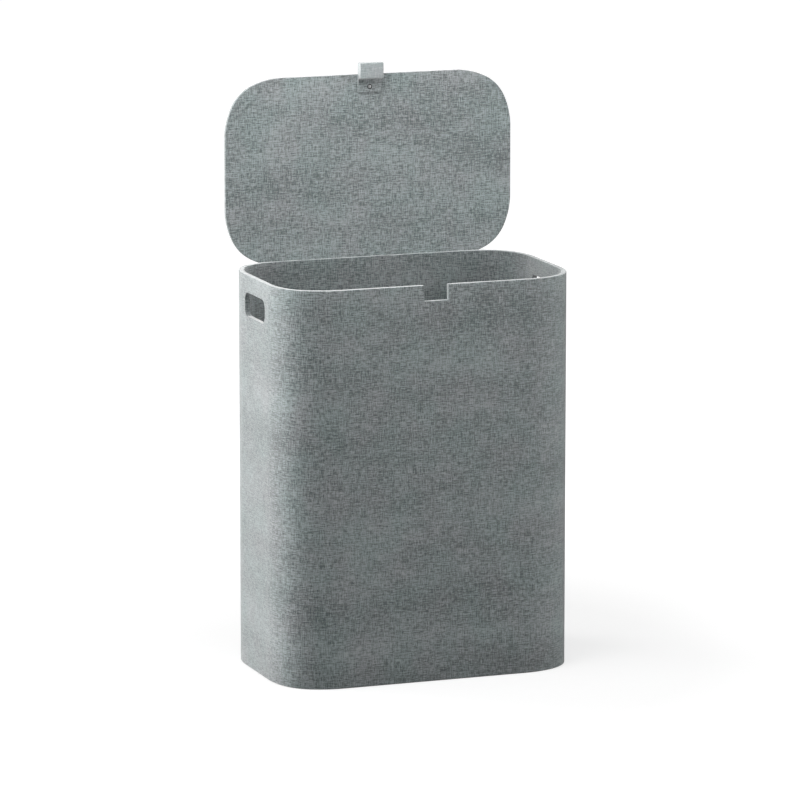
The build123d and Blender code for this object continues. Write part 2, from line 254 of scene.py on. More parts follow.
def fibreboard():
    finish = Finish("fibreboard")
    place = position(finish)
    speck = solid_noise(finish, place, 900)
    streak = solid_noise(finish, place, (60, 60, 600))
    shade = finish.node("ShaderNodeClamp", {}, {0: (speck - 0.5) * 1.6 + (streak - 0.5) + 0.5})
    colour = finish.mix(shade, (0.20, 0.12, 0.065, 1), (0.42, 0.28, 0.16, 1))
    bump = finish.node("ShaderNodeBump", {}, {"Strength": 0.3, "Distance": 0.1 * mm, "Height": speck})
    return finish.surface({"Base Color": colour, "Roughness": 0.85 - shade * 0.1, "Normal": bump})


def dust_cloth():
    finish = Finish("dust_cloth")
    place = position(finish)
    dots = finish.node("ShaderNodeTexVoronoi", {}, {"Vector": place, "Scale": 520.0, "Randomness": 0.25})
    weld = finish.node("ShaderNodeClamp", {}, {0: (dots - 0.3) * 4.0})
    fibre = solid_noise(finish, place, 1500)
    colour = finish.mix(weld * 0.6 + fibre * 0.4, (0.02, 0.02, 0.022, 1), (0.075, 0.076, 0.08, 1))
    height = weld + fibre * 0.4
    bump = finish.node("ShaderNodeBump", {}, {"Strength": 0.6, "Distance": 0.15 * mm, "Height": height})
    return finish.surface({"Base Color": colour, "Roughness": 0.92 - fibre * 0.1, "Normal": bump})


def steel(name, dark, light, metallic, roughness):
    finish = Finish(name)
    place = position(finish)
    marks = solid_noise(finish, place, (300, 4000, 4000))
    spots = solid_noise(finish, place, 700)
    worn = finish.node("ShaderNodeClamp", {}, {0: (spots - 0.5) * 4.0 + 0.3})
    colour = finish.mix(worn, (*dark, 1), (*light, 1))
    bump = finish.node("ShaderNodeBump", {}, {"Strength": 0.25, "Distance": 0.02 * mm, "Height": marks})
    rough = roughness + (marks - 0.5) * 0.15 + (spots - 0.5) * 0.12
    inputs = {"Base Color": colour, "Metallic": metallic, "Roughness": rough, "Normal": bump}
    return finish.surface(inputs)


board = fibreboard()
under_cloth = dust_cloth()
plated_steel = steel("plated_steel", (0.55, 0.55, 0.54), (0.68, 0.68, 0.66), 1.0, 0.3)
# The tab's screw: darker than the plated hinges, painted shade under the tab's head.
dull_painted_shade_steel = steel("dull_painted_shade_steel", (0.26, 0.27, 0.27), (0.36, 0.37, 0.37), 1.0, 0.5)
black_steel = steel("blackened_steel", (0.012, 0.012, 0.013), (0.045, 0.045, 0.047), 0.4, 0.42)

# %% [markdown]
# ## Walking round the rounded plan
# The sleeve, its lining and the lid all follow the same kind of outline. One quarter of it is walked
# in steps, straight, three arcs, straight, and mirrored into the other three. Each station keeps its
# outward direction, so a layer further in is found by stepping back along it.


# %% Stations round an outline
def cut_up(length, cuts, step):
    """Positions from 0 to length, with every cut among them and no gap above step."""
    stops = sorted({0.0, length, *[c for c in cuts if 0 < c < length]})
    places = []
    for low, high in zip(stops, stops[1:]):
        count = max(1, math.ceil((high - low) / step - 1e-6))
        places += [low + (high - low) * i / count for i in range(count)]
    return places + [length]


def quarter(half_x, half_y, cuts_x, cuts_y, step):
    """Stations (x, y, outward x, outward y) from the middle of the rear to the middle of the left."""
    wide = (wide_radius, wide_angle, 8)
    arcs = [wide, (tight_radius, math.pi / 2 - 2 * wide_angle, 14), wide]
    turned = 0.0
    reach = 0.0
    for radius, angle, _ in arcs:
        reach += radius * (math.sin(turned + angle) - math.sin(turned))
        turned += angle
    stations = [(-x, half_y, 0.0, 1.0) for x in cut_up(half_x - reach, cuts_x, step)]
    turned = 0.0
    at = Vector((reach - half_x, half_y))
    for radius, angle, count in arcs:
        centre = at - radius * Vector((-math.sin(turned), math.cos(turned)))
        for i in range(1, count + 1):
            now = turned + angle * i / count
            outward = Vector((-math.sin(now), math.cos(now)))
            at = centre + radius * outward
            stations.append((at.x, at.y, outward.x, outward.y))
        turned += angle
    straight = cut_up(half_y - reach, cuts_y, step)[::-1]
    return stations + [(-half_x, y, -1.0, 0.0) for y in straight[1:]]


def outline(half_x, half_y, cuts_x=(), cuts_y=(), step=30 * mm):
    """All stations, each with the distance walked along the outline, back to the starting point."""
    rear_left = quarter(half_x, half_y, cuts_x, cuts_y, step)
    front_left = [(x, -y, nx, -ny) for x, y, nx, ny in rear_left[::-1]]
    left = rear_left + front_left[1:]
    right = [(-x, y, -nx, ny) for x, y, nx, ny in left[::-1]]
    loop = left + right[1:]
    stations = []
    walked = 0.0
    for i, (x, y, nx, ny) in enumerate(loop):
        if i:
            walked += math.dist((x, y), loop[i - 1][:2])
        stations.append((Vector((x, y)), Vector((nx, ny)), walked))
    return stations


print("stations round the sleeve:", len(outline(half_width, half_depth)))

# %% [markdown]
# ## A piece from its corners
# Every covering is listed as points, faces and, for each corner of each face, its place on the flat
# cloth. One function turns that into an object with its finish, rides it on its body and hides the plain
# piece that it stands for.


# %% Make one piece
def make_piece(name, points, faces, flat, body, replaced, material, slot):
    mesh = bpy.data.meshes.new(name)
    mesh.from_pydata([tuple(p) for p in points], [], faces)
    layer = mesh.uv_layers.new(name="threads")
    corners = [corner for face in flat for corner in face]
    layer.uv.foreach_set("vector", [number for corner in corners for number in corner])
    piece = bpy.data.objects.new(name, mesh)
    bpy.context.scene.collection.objects.link(piece)
    mesh.materials.append(material)
    mesh.validate()
    shade_by_angle(piece)
    dress(piece, body, replaced, slot)
    return piece


def dress(piece, body, replaced, slot):
    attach(piece, body)
    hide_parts(*replaced)
    print(piece.name, len(piece.data.polygons), "faces on", body)


def finished(piece):
    """Replace a piece's mesh by the result of its modifiers."""
    graph = bpy.context.evaluated_depsgraph_get()
    result = bpy.data.meshes.new_from_object(piece.evaluated_get(graph))
    piece.modifiers.clear()
    piece.data = result
    return piece


def shade_by_angle(piece, degrees=40):
    """Smooth the gentle edges and keep the sharp ones."""
    mesh = piece.data
    mesh.polygons.foreach_set("use_smooth", [True] * len(mesh.polygons))
    mesh.set_sharp_from_angle(angle=math.radians(degrees))


def thicken(piece, depth):
    """Give a sheet its thickness behind the modelled face, with crisp cut edges."""
    solid = piece.modifiers.new("cloth_thickness", "SOLIDIFY")
    solid.thickness = depth
    solid.offset = -1
    solid.use_even_offset = True
    finished(piece)
    shade_by_angle(piece)


# %% [markdown]
# ## The sleeve's covering
# The cloth starts folded under the foot, climbs the outside and turns over the rim. Its section is
# drawn once as (inset, height, direction) rows and swept round the stations. At the rear the rim is
# rounded about the hinge axis, because the lid swings past it there: a row is simply lowered onto
# that round where it would stand outside it.


# %% The section of the wall
fold = 1.0 * mm
inner_fold = 0.7 * mm
slot_margin = 1.6 * mm
hole_corner = 12.5 * mm
hole_low = Vector((binding_low.y, binding_low.z))
hole_high = Vector((binding_high.y, binding_high.z))
hole_centre = (hole_low + hole_high) / 2
hole_radius = hole_corner + cloth
patch = 8 * mm
patch_half = hole_high.x + patch
rows_near_hole = [hole_low.y - patch, hole_high.y + patch]
arc_step = 2.4 * mm


def near_hole(low, high):
    """Close steps beside a hand hole's round corner, from the straight part to the patch's edge."""
    count = math.ceil((high - low) / arc_step)
    return [low + (high - low) * i / count for i in range(count + 1)]


hole_straight_y = (hole_high.x - hole_low.x) / 2 - hole_radius
hole_straight_z = (hole_high.y - hole_low.y) / 2 - hole_radius
cuts_y = near_hole(hole_straight_y, patch_half)
upper_rows = near_hole(hole_centre.y + hole_straight_z, rows_near_hole[1])
lower_rows = [2 * hole_centre.y - z for z in upper_rows]


def rim_height(inset, y):
    """Height of the rim at a distance in from the outside, at depth y in the hamper."""
    height = rim
    if inset < fold:
        height = rim - fold + math.sqrt(fold**2 - (fold - inset) ** 2)
    if inset > wall - inner_fold:
        past = min(inset - (wall - inner_fold), inner_fold)
        height = rim - inner_fold + math.sqrt(inner_fold**2 - past**2)
    if y > axis.y:
        height = min(height, axis.z + math.sqrt(max(0.0, swing**2 - (y - axis.y) ** 2)))
    return height


rim_insets = [0, 0.07, 0.2, 0.4, 0.65, 1.0, 1.5, 2.2, 3.0, 4.0, 5.6, 7.3, 7.55, 7.75, 7.9, 8.0]
rim_insets = [inset * mm for inset in rim_insets]
face_stops = [hem + fold, notch_floor - cloth, *lower_rows, *upper_rows]
face_stops += [axis.z - slot_margin, rim - swing]
face_rows = cut_up(rim - swing, face_stops, 45 * mm)
face_rows = [z for z in face_rows if z >= hem + fold]


def outside_section(station):
    """The rows of the outer covering at one station: place and direction, from the foot up."""
    place, outward, _ = station
    rows = [(inset * mm, hem, 0.0, -1.0) for inset in (25, 13, fold / mm)]
    for i in range(1, 4):
        out, up = math.sin(math.pi / 2 * i / 4), math.cos(math.pi / 2 * i / 4)
        rows.append((fold * (1 - out), hem + fold * (1 - up), out, -up))
    rows += [(0.0, z, 1.0, 0.0) for z in face_rows]
    for inset in rim_insets:
        share = min(1.0, inset / fold)
        rows.append((inset, rim_height(inset, place.y - outward.y * inset), 1 - share, share))
    return rows


# %% [markdown]
# ## Sweeping a section round the hamper
# The swept faces are skipped where the cloth is cut away: the front notch, the two little slots for
# the hinges, and a patch round each hand hole. The patch is then closed by a ring of faces from its
# edge to the nearest point of the hole's rounded outline, so the hole stays round.


# %% Sweep, skip and ring the holes
def run_length(rows):
    """How long a section is along the cloth."""
    return sum(math.dist(first[:2], second[:2]) for first, second in zip(rows, rows[1:]))


def nearest_on_hole(y, z):
    """The nearest point of the hand hole's outline to a point of the side wall."""
    core_y = max(-hole_straight_y, min(hole_straight_y, y))
    core_z = hole_centre.y + max(-hole_straight_z, min(hole_straight_z, z - hole_centre.y))
    away = Vector((y - core_y, z - core_z)).normalized() * hole_radius
    return core_y + away.x, core_z + away.y


def in_patch(middle):
    beside = abs(middle.x) > half_width - 2 * wall and abs(middle.y) < patch_half
    return beside and rows_near_hole[0] < middle.z < rows_near_hole[1]


def in_notch(middle):
    return abs(middle.x) < notch_half + cloth and middle.y < 0 and middle.z > notch_floor - cloth


def in_hinge_slot(middle):
    if middle.y < axis.y - slot_margin or middle.z < axis.z - slot_margin:
        return False
    return any(abs(middle.x - x) < slot_half for x in hinge_places)


pin_left_low, pin_left_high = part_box("hinge_pin_left")
pin_right_low, pin_right_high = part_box("hinge_pin_right")
hinge_places = [(pin_left_low.x + pin_left_high.x) / 2, (pin_right_low.x + pin_right_high.x) / 2]
slot_half = 7.4 * mm
slot_cuts = [abs(hinge_places[0]) - slot_half, abs(hinge_places[0]) + slot_half]


def sweep(stations, sections, skip):
    """Points, faces and flat places of a section swept along stations, without the skipped faces."""
    points, flat_points = [], []
    for station, rows in zip(stations, sections):
        place, outward, walked = station
        along = 0.0
        before = None
        for inset, height, _, _ in rows:
            spot = place - outward * inset
            now = (inset, height)
            along = height if before is None else along + math.dist(before, now)
            before = now
            points.append(Vector((spot.x, spot.y, height)))
            flat_points.append((walked, along))
    faces, flat = [], []
    open_edges = {}
    tall = len(sections[0])
    for i in range(len(stations) - 1):
        for j in range(tall - 1):
            face = (i * tall + j, (i + 1) * tall + j, (i + 1) * tall + j + 1, i * tall + j + 1)
            middle = sum((points[k] for k in face), Vector()) / 4
            if in_patch(middle):
                for a, b in zip(face, face[1:] + face[:1]):
                    if (b, a) in open_edges:
                        del open_edges[(b, a)]
                    else:
                        open_edges[(a, b)] = True
                continue
            if skip(middle):
                continue
            faces.append(face)
            flat.append([flat_points[k] for k in face])
    ring_holes(points, flat_points, faces, flat, open_edges)
    return points, faces, flat


def ring_holes(points, flat_points, faces, flat, open_edges):
    """Join the edge of each skipped patch to the hand hole's outline."""
    inner = {}
    for edge in open_edges:
        for k in edge:
            if k in inner:
                continue
            y, z = nearest_on_hole(points[k].y, points[k].z)
            inner[k] = len(points)
            shift = (z - points[k].z, y - points[k].y)
            side = 1 if points[k].x > 0 else -1
            points.append(Vector((points[k].x, y, z)))
            flat_points.append((flat_points[k][0] + side * shift[1], flat_points[k][1] + shift[0]))
    for a, b in open_edges:
        face = (a, b, inner[b], inner[a])
        faces.append(face)
        flat.append([flat_points[k] for k in face])


# %% [markdown]
# ## The seam at the rear
# The covering is one strip of cloth, so its two ends meet somewhere, and makers put that at the back.
# One end is glued down first and dips under the other, which ends in a straight cut edge. The strip's
# flat size, before it was glued on, is the walk round the outline plus the lap, by the section's run.

# %% Cover the outside of the sleeve
lap = 10 * mm
dip_width = 9 * mm
dip = 0.6 * mm
cuts_x = [notch_half + cloth, *slot_cuts, dip_width / 2, dip_width]
stations = outline(half_width, half_depth, cuts_x, cuts_y)
tucked = [(Vector((offset, half_depth)), Vector((0.0, 1.0)), -offset) for offset in (lap, lap / 2)]
stations = tucked + stations
sections = []
for station in stations:
    sunk = dip * max(0.0, min(1.0, 1 - station[2] / dip_width))
    rows = [(i + sunk * out, z - sunk * up, out, up) for i, z, out, up in outside_section(station)]
    sections.append(rows)

points, faces, flat = sweep(stations, sections, lambda m: in_notch(m) or in_hinge_slot(m))
surface = (points, faces, flat)
cover = make_piece("sleeve_cover", *surface, "hamper", ["outer_cover"], grey_linen, "linen_cloth")
thicken(cover, shell_cloth)
sleeve_cut = (stations[-1][2] + lap, run_length(sections[-1]))
print("the sleeve's strip is cut to", [round(side, 3) for side in sleeve_cut], "m")

# %% [markdown]
# ## The lining
# The lining is the same weave on the inside face, made darker as painted shade for the dim inside
# of the hamper. It starts under the covering's inner fold and ends on the floor board, and it is cut
# away at the notch and at the hand holes like the covering. Its ends meet edge to edge, so it has no lap.

# %% Line the inside
lining_top = rim - inner_fold
lining_bottom = floor_lining_low.z + 0.1 * mm
lining_rows = [z for z in face_rows if lining_bottom < z < lining_top - 3 * mm]
lining_rows = [lining_bottom, *lining_rows, lining_top]
stations = outline(half_width, half_depth, [notch_half + cloth], cuts_y)
sections = [[(wall, z, -1.0, 0.0) for z in lining_rows] for _ in stations]
points, faces, flat = sweep(stations, sections, in_notch)
faces = [face[::-1] for face in faces]
flat = [corners[::-1] for corners in flat]
surface = (points, faces, flat)
lining = make_piece("sleeve_lining", *surface, "hamper", ["inner_lining"], painted_shade_linen, "linen_cloth")
thicken(lining, shell_cloth)
lining_cut = (stations[-1][2] - math.tau * wall, lining_top - lining_bottom)
print("the lining is cut to", [round(side, 3) for side in lining_cut], "m")

# %% [markdown]
# ## The cut edges: hand holes and notch
# Where the wall is cut through, a strip of cloth lines the cut. Its section is a flat band with both
# visible edges turned over softly. It is carried round the hand hole, and down, across and up the
# notch. The hand holes' strips get the lining's darker cloth, painted shade inside the holes. The
# three strips finish the sleeve's covering as a hem would.

# %% Bind the hand holes and the notch
strip_round = 0.65 * mm


def band_section():
    """(across the wall, away from the opening) points round the strip, its two edges rounded."""
    points = [(0.0, cloth)]
    for i in range(5):
        angle = math.pi / 2 * i / 4
        points.append((strip_round * (1 - math.cos(angle)), strip_round * (1 - math.sin(angle))))
    points += [(wall / 2, 0.0)]
    points += [(wall - across, away) for across, away in points[1:-1][::-1]]
    return points + [(wall, cloth)]


def bind(name, path, to_point, closed, replaced):
    """Carry the strip along a path of (place, direction into the wall)."""
    section = band_section()
    count = len(section)
    points, faces, flat = [], [], []
    for place, inward in path:
        points += [to_point(place, inward, across, away) for across, away in section]
    around = [0.0]
    for first, second in zip(section, section[1:] + section[:1]):
        around.append(around[-1] + math.dist(first, second))
    walked = 0.0
    spans = len(path) if closed else len(path) - 1
    for i in range(spans):
        k = (i + 1) % len(path)
        step = (path[k][0] - path[i][0]).length
        for j in range(count):
            m = (j + 1) % count
            faces.append((i * count + j, i * count + m, k * count + m, k * count + j))
            flat.append([
                (walked, around[j]),
                (walked, around[j + 1]),
                (walked + step, around[j + 1]),
                (walked + step, around[j]),
            ])
        walked += step
    if not closed:
        last = (len(path) - 1) * count
        faces += [tuple(range(count))[::-1], tuple(range(last, last + count))]
        flat += [[section[j] for j in range(count)][::-1], [section[j] for j in range(count)]]
    # The hand holes' strips wear the darker cloth as painted shade; the notch keeps the plain grey.
    material = painted_shade_linen if closed else grey_linen
    return make_piece(name, points, faces, flat, "hamper", [replaced], material, "linen_cloth")


def hand_hole_path():
    """Round the hand hole's visible edge, with the direction into the wall."""
    path = []
    radius = hole_radius - cloth
    for corner, (side_y, side_z) in enumerate(((1, 1), (-1, 1), (-1, -1), (1, -1))):
        centre = Vector((side_y * hole_straight_y, hole_centre.y + side_z * hole_straight_z))
        for i in range(9):
            angle = math.pi / 2 * (corner + i / 8)
            away = Vector((math.cos(angle), math.sin(angle)))
            path.append((centre + radius * away, away))
    return path


def side_point(start, direction):
    def to_point(place, away, across, offset):
        spot = place + away * offset
        return Vector((start + direction * across, spot.x, spot.y))

    return to_point


path = hand_hole_path()
left = bind("hand_hole_binding_left", path, side_point(-half_width, 1), True, "hand_hole_lining_left")
back = path[::-1]
right = bind("hand_hole_binding_right", back, side_point(half_width, -1), True, "hand_hole_lining_right")


def notch_path():
    """Down one side of the notch, across its floor and up the other side."""
    top = rim
    root = Vector((notch_half, notch_floor))
    corner = Vector((1.0, -1.0))
    down = [Vector((notch_half, z)) for z in (top, top - fold, (top + notch_floor) / 2)]
    path = [(place, Vector((1.0, 0.0))) for place in down]
    path += [(root, corner), (Vector((0.0, notch_floor)), Vector((0.0, -1.0)))]
    mirrored = [(Vector((-p.x, p.y)), Vector((-d.x, d.y))) for p, d in path[:-1]]
    return path + mirrored[::-1]


def front_point(place, away, across, offset):
    spot = place + away * offset
    height = min(spot.y, rim_height(across, -half_depth)) if spot.y > rim - fold / 2 else spot.y
    return Vector((spot.x, -half_depth + across, height))


notch = bind("notch_binding", notch_path(), front_point, False, "notch_lining")

# %% [markdown]
# ## The lid
# The lid is a thin board in the same cloth. The top cloth goes round the edge and ends in a narrow
# fold on the underside, and a second piece of cloth, cut a little smaller, closes the underside.
# On the open lid the underside faces the front, so this is the face that shows.

# %% Cover the lid
lid_half_x = (lid_high.x - lid_low.x) / 2
lid_half_y = (lid_high.z - lid_low.z) / 2
lid_middle = (lid_high.z + lid_low.z) / 2
edge_round = 1.6 * mm
under_round = 0.6 * mm


def lid_point(spot, height):
    """A point of the open lid from its place in plan and its height above the hinge axis."""
    return Vector((spot.x, axis.y + height, lid_middle - spot.y))


def lid_shell(name, section, replaced):
    """Sweep (inset, height) rows round the lid's plan and close them with one flat face."""
    rounds = outline(lid_half_x, lid_half_y, step=20 * mm)
    section = section + [(section[-1][0] + 4 * mm, section[-1][1])]
    tall = len(section)
    points, faces, flat = [], [], []
    along = [0.0]
    for first, second in zip(section, section[1:]):
        along.append(along[-1] + math.dist(first, second))
    for place, outward, _ in rounds[:-1]:
        points += [lid_point(place - outward * inset, height) for inset, height in section]
    count = len(rounds) - 1
    for i in range(count):
        k = (i + 1) % count
        for j in range(tall - 1):
            face = (i * tall + j, k * tall + j, k * tall + j + 1, i * tall + j + 1)
            faces.append(face)
            if abs(section[j][1] - section[j + 1][1]) < 0.1 * mm:
                flat.append([(points[n].x, points[n].z) for n in face])
            else:
                here, ahead = rounds[i][2], rounds[i + 1][2]
                low, high = along[j], along[j + 1]
                flat.append([(here, low), (ahead, low), (ahead, high), (here, high)])
    last = tuple(i * tall + tall - 1 for i in range(count))
    faces.append(last)
    flat.append([(points[n].x, points[n].z) for n in last])
    if section[-1][1] < section[0][1]:
        faces = [face[::-1] for face in faces]
        flat = [corners[::-1] for corners in flat]
    return make_piece(name, points, faces, flat, "lid", replaced, grey_linen, "linen_cloth")


def arc_rows(radius, inset, height, start, end, steps=4):
    """Rows on an arc about (inset, height), its angles from straight out towards the lid's top."""
    rows = []
    for i in range(steps + 1):
        angle = math.radians(start + (end - start) * i / steps)
        rows.append((inset - radius * math.cos(angle), height + radius * math.sin(angle)))
    return rows


top_section = [(2.2 * mm, lid_bottom + 0.02 * mm)]
top_section += arc_rows(under_round, under_round, lid_bottom + under_round, -90, 0)
top_section += arc_rows(edge_round, edge_round, lid_top - edge_round, 0, 90)
lid_cover = lid_shell("lid_cover", top_section, ["lid_top_cover"])
thicken(lid_cover, shell_cloth)
turned_over = lid_top - lid_bottom + top_section[0][0]
lid_cut = (2 * (lid_half_x + turned_over), 2 * (lid_half_y + turned_over))

under_inset = 1.5 * mm
under_cloth_depth = 0.5 * mm
under_section = arc_rows(0.35 * mm, under_inset + 0.35 * mm, lid_bottom + 0.35 * mm, 0, -90)
under_section = [(under_inset, lid_bottom + 0.6 * mm)] + under_section
lid_under = lid_shell("lid_underside", under_section, ["lid_underside_cover"])
thicken(lid_under, under_cloth_depth)
under_cut = (2 * (lid_half_x - under_inset), 2 * (lid_half_y - under_inset))
print("the lid's two cloths are cut to", [round(side, 3) for side in lid_cut + under_cut], "m")

# %% [markdown]
# ## The pull tab
# The tab is an L-shaped block. Its head wears a paler copy of the cloth, a painted highlight for the
# light falling on it from above and the left, and its leg the lid's own grey, so one piece carries two
# finishes and each face is told which one it wears. Its profile has a soft inner bend and slightly
# rounded outer edges. It is drawn once, extruded across its width, and its ends get a small bevel,
# as wrapped cloth never makes a knife edge. A round recess takes the cup.

# %% Make the tab
leg_face = tab_high.y - 2.8 * mm
block_rear = tab_high.z - 24 * mm
leg_end = tab_low.z
inner_bend = 8.2 * mm
outer_bend = 1.4 * mm
screw_low, screw_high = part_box("tab_screw")
cup_low, cup_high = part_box("tab_screw_cup")
screw_x = (screw_low.x + screw_high.x) / 2
screw_z = (screw_low.z + screw_high.z) / 2


def bend(centre_y, centre_z, radius, start, end, steps=6):
    """Points on an arc in the tab's side view, angles in degrees from +Y towards +Z."""
    points = []
    for i in range(steps + 1):
        angle = math.radians(start + (end - start) * i / steps)
        points.append((centre_y + radius * math.cos(angle), centre_z + radius * math.sin(angle)))
    return points


def tab_profile():
    front, back = tab_low.y, tab_high.y
    top = tab_high.z
    points = bend(back - outer_bend, top - outer_bend, outer_bend, 0, 90, 4)
    points += bend(front + outer_bend, top - outer_bend, outer_bend, 90, 180, 4)
    points += bend(front + outer_bend, block_rear + outer_bend, outer_bend, 180, 270, 4)
    points += bend(leg_face - inner_bend, block_rear - inner_bend, inner_bend, 90, 0)
    points += bend(leg_face + 0.9 * mm, leg_end + 0.9 * mm, 0.9 * mm, 180, 270, 3)
    return points + [(back, leg_end)]


def side_cloth(piece):
    """Lay the threads on a piece by the main direction of each face."""
    mesh = piece.data
    layer = mesh.uv_layers.get("threads") or mesh.uv_layers.new(name="threads")
    for face in mesh.polygons:
        lean = [abs(part) for part in face.normal]
        main = lean.index(max(lean))
        for loop in face.loop_indices:
            spot = mesh.vertices[mesh.loops[loop].vertex_index].co
            layer.uv[loop].vector = [(spot.y, spot.z), (spot.x, spot.z), (spot.x, spot.y)][main]


def from_bmesh(name, work, material):
    mesh = bpy.data.meshes.new(name)
    bmesh.ops.recalc_face_normals(work, faces=work.faces)
    work.to_mesh(mesh)
    work.free()
    mesh.materials.append(material)
    piece = bpy.data.objects.new(name, mesh)
    bpy.context.scene.collection.objects.link(piece)
    return piece


def extruded(name, profile, x_from, x_to, material):
    """A prism whose profile lies across X."""
    work = bmesh.new()
    ring = [work.verts.new((x_from, y, z)) for y, z in profile]
    face = work.faces.new(ring)
    grown = bmesh.ops.extrude_face_region(work, geom=[face])["geom"]
    moved = [part for part in grown if isinstance(part, bmesh.types.BMVert)]
    bmesh.ops.translate(work, verts=moved, vec=(x_to - x_from, 0, 0))
    return from_bmesh(name, work, material)


def revolved(name, profile, steps, material):
    """A turned piece about the screw's line; profile rows are (distance from it, place along Y)."""
    work = bmesh.new()
    rings = []
    for radius, along in profile:
        ring = []
        for i in range(steps):
            angle = math.tau * i / steps
            spot = (screw_x + radius * math.cos(angle), along, screw_z + radius * math.sin(angle))
            ring.append(work.verts.new(spot))
        rings.append(ring)
    for first, second in zip(rings, rings[1:]):
        for i in range(steps):
            k = (i + 1) % steps
            work.faces.new((first[i], first[k], second[k], second[i]))
    work.faces.new(rings[0])
    work.faces.new(rings[-1])
    return from_bmesh(name, work, material)


def carve(piece, tool):
    """Cut a tool's shape out of a piece."""
    cut = piece.modifiers.new("cut", "BOOLEAN")
    cut.object = tool
    cut.operation = "DIFFERENCE"
    cut.solver = "EXACT"
    finished(piece)
    bpy.data.objects.remove(tool)


def soften(piece, width, segments=3):
    """Round a piece's sharp edges."""
    bevel = piece.modifiers.new("rounded_edges", "BEVEL")
    bevel.width = width
    bevel.segments = segments
    bevel.limit_method = "ANGLE"
    bevel.angle_limit = math.radians(50)
    finished(piece)


cup_radius = (cup_high.x - cup_low.x) / 2
tab = extruded("pull_tab", tab_profile(), tab_low.x, tab_high.x, painted_highlight_linen)
soften(tab, 0.9 * mm)
recess_radius = cup_radius + 0.1 * mm
recess_profile = [(recess_radius, cup_low.y - 2 * mm), (recess_radius, cup_high.y)]
recess = revolved("recess", recess_profile, 40, painted_highlight_linen)
carve(tab, recess)
side_cloth(tab)
# The leg's front faces take the lid's grey; the head keeps its painted highlight.
tab.data.materials.append(grey_linen)
for face in tab.data.polygons:
    if face.center.z < block_rear - 1 * mm and face.normal.y < -0.3:
        face.material_index = 1
shade_by_angle(tab)
dress(tab, "lid", ["tab_cover"], "linen_cloth")

# %% [markdown]
# ## The tab's screw and its cup
# A dark dished cup sits in the recess and a round-headed screw in dull steel sits in the cup, darker
# grey than the hinges as painted shade from the tab's head above it. Both are turned shapes, and the
# screw's cross is cut by two crossed bars that narrow towards their ends.

# %% Turn the cup and the screw
lip = cup_low.y - 0.15 * mm
seat = screw_low.y + 0.9 * mm
cup_profile = [
    (screw_high.x - screw_x + 0.1 * mm, seat),
    (screw_high.x - screw_x + 0.35 * mm, seat - 0.5 * mm),
    (cup_radius - 0.7 * mm, lip),
    (cup_radius - 0.25 * mm, lip - 0.05 * mm),
    (cup_radius, lip + 0.3 * mm),
    (cup_radius, cup_high.y - 0.1 * mm),
]
cup = revolved("screw_cup", cup_profile, 48, black_steel)
shade_by_angle(cup)
dress(cup, "lid", ["tab_screw_cup"], "blackened_steel")

head_radius = (screw_high.x - screw_low.x) / 2
crown = 0.35 * mm
head_profile = []
for i in range(7):
    angle = math.pi / 2 * i / 6
    dome = screw_low.y + crown * (1 - math.cos(angle)) - 0.1 * mm
    head_profile.append((head_radius * math.sin(angle) + 0.02 * mm, dome))
head_profile += [(head_radius, seat - 0.1 * mm), (head_radius * 0.96, seat)]
head_profile += [(1.45 * mm, seat), (1.45 * mm, screw_high.y - 1 * mm), (0.3 * mm, screw_high.y)]
screw = revolved("tab_screw_turned", head_profile, 48, dull_painted_shade_steel)
bar_half, bar_width = 1.35 * mm, 0.34 * mm
for across, tall in ((bar_half, bar_width), (bar_width, bar_half)):
    work = bmesh.new()
    corners = []
    for depth, share in ((screw_low.y - 0.5 * mm, 1.1), (screw_low.y + 0.75 * mm, 0.55)):
        for x, z in ((-1, -1), (1, -1), (1, 1), (-1, 1)):
            spot = (screw_x + x * across * share, depth, screw_z + z * tall * share)
            corners.append(work.verts.new(spot))
    work.faces.new(corners[:4])
    work.faces.new(corners[4:])
    for i in range(4):
        k = (i + 1) % 4
        work.faces.new((corners[i], corners[k], corners[k + 4], corners[i + 4]))
    carve(screw, from_bmesh("cross_bar", work, dull_painted_shade_steel))
shade_by_angle(screw, 35)
dress(screw, "lid", ["tab_screw"], "plated_steel")

# %% [markdown]
# ## The floor cloth and the dust cover
# Two flat cloths close the foot. Inside, the floor board wears a cut of the same linen whose edge is
# pressed against the wall, and it lies a hair proud in its middle. Underneath, a thin dark cloth
# keeps dust off the raw board. Its edge is turned in, so a double band round it touches the floor
# and its middle stays a little higher. Both are plates built from rings that follow the outline.

# %% Lay the floor cloth and the dust cover
def cloth_plate(name, gap, level, rows, material):
    """A flat closed cloth from (inset, height) rows in millimetres, one ring each."""
    work = bmesh.new()
    rings = []
    for inset, height in rows:
        ring = []
        for place, outward, _ in outline(half_width, half_depth)[:-1]:
            spot = place - outward * (gap + inset * mm)
            ring.append(work.verts.new((spot.x, spot.y, level + height * mm)))
        rings.append(ring)
    for first, second in zip(rings, rings[1:]):
        for i in range(len(first)):
            k = (i + 1) % len(first)
            work.faces.new((first[i], first[k], second[k], second[i]))
    work.faces.new(rings[0])
    work.faces.new(rings[-1])
    return from_bmesh(name, work, material)


floor_gap = half_width - floor_lining_high.x
floor_rows = [(0, 0), (0, 0.35), (0.25, 0.6), (0.8, 0.7), (12, 0.75), (50, 0.95)]
floor_cloth = cloth_plate("floor_cloth", floor_gap, floor_lining_low.z, floor_rows, grey_linen)
side_cloth(floor_cloth)
shade_by_angle(floor_cloth)
dress(floor_cloth, "hamper", ["bottom_lining"], "linen_cloth")

